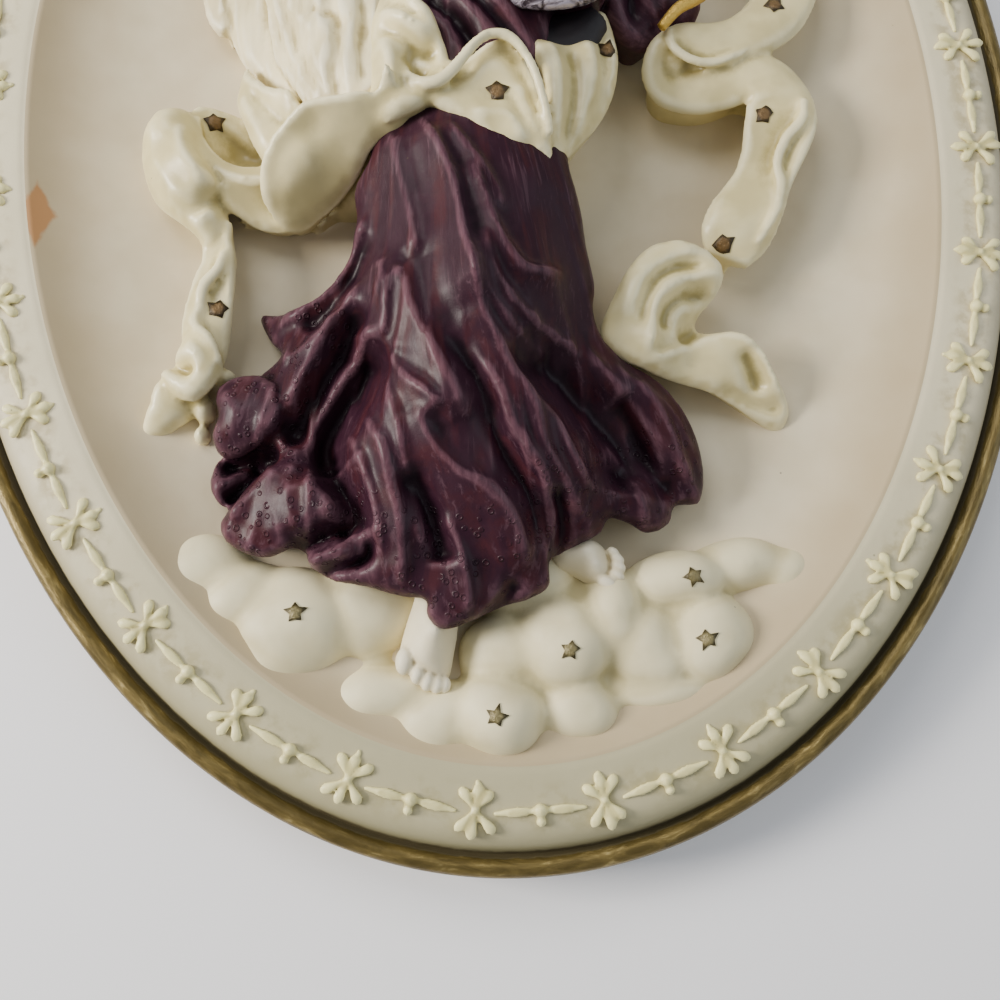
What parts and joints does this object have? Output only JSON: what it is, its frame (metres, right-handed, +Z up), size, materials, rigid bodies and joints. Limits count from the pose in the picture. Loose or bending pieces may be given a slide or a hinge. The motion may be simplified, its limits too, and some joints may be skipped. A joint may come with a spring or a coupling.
{
  "type": "angel wall plaque",
  "caption": "Oval cast-resin wall plaque with a hollowed field, a flower garland on its rim and an angel in high relief over clouds.",
  "frame": {"origin": "middle of the flat back, where the plaque lies against the wall", "axes": "+Z up the plaque's long axis, +Y out of the back into the wall, so the relief faces -Y"},
  "size_m": [0.199, 0.0389, 0.262],
  "materials": {
    "painted_resin": "cast resin painted by hand: matt cream and ivory, a satin plum gown with pink dry-brushed folds, and an antique gold edge"
  },
  "bodies": {
    "root": {"angel_plaque": "painted_resin"}
  },
  "joints": []
}
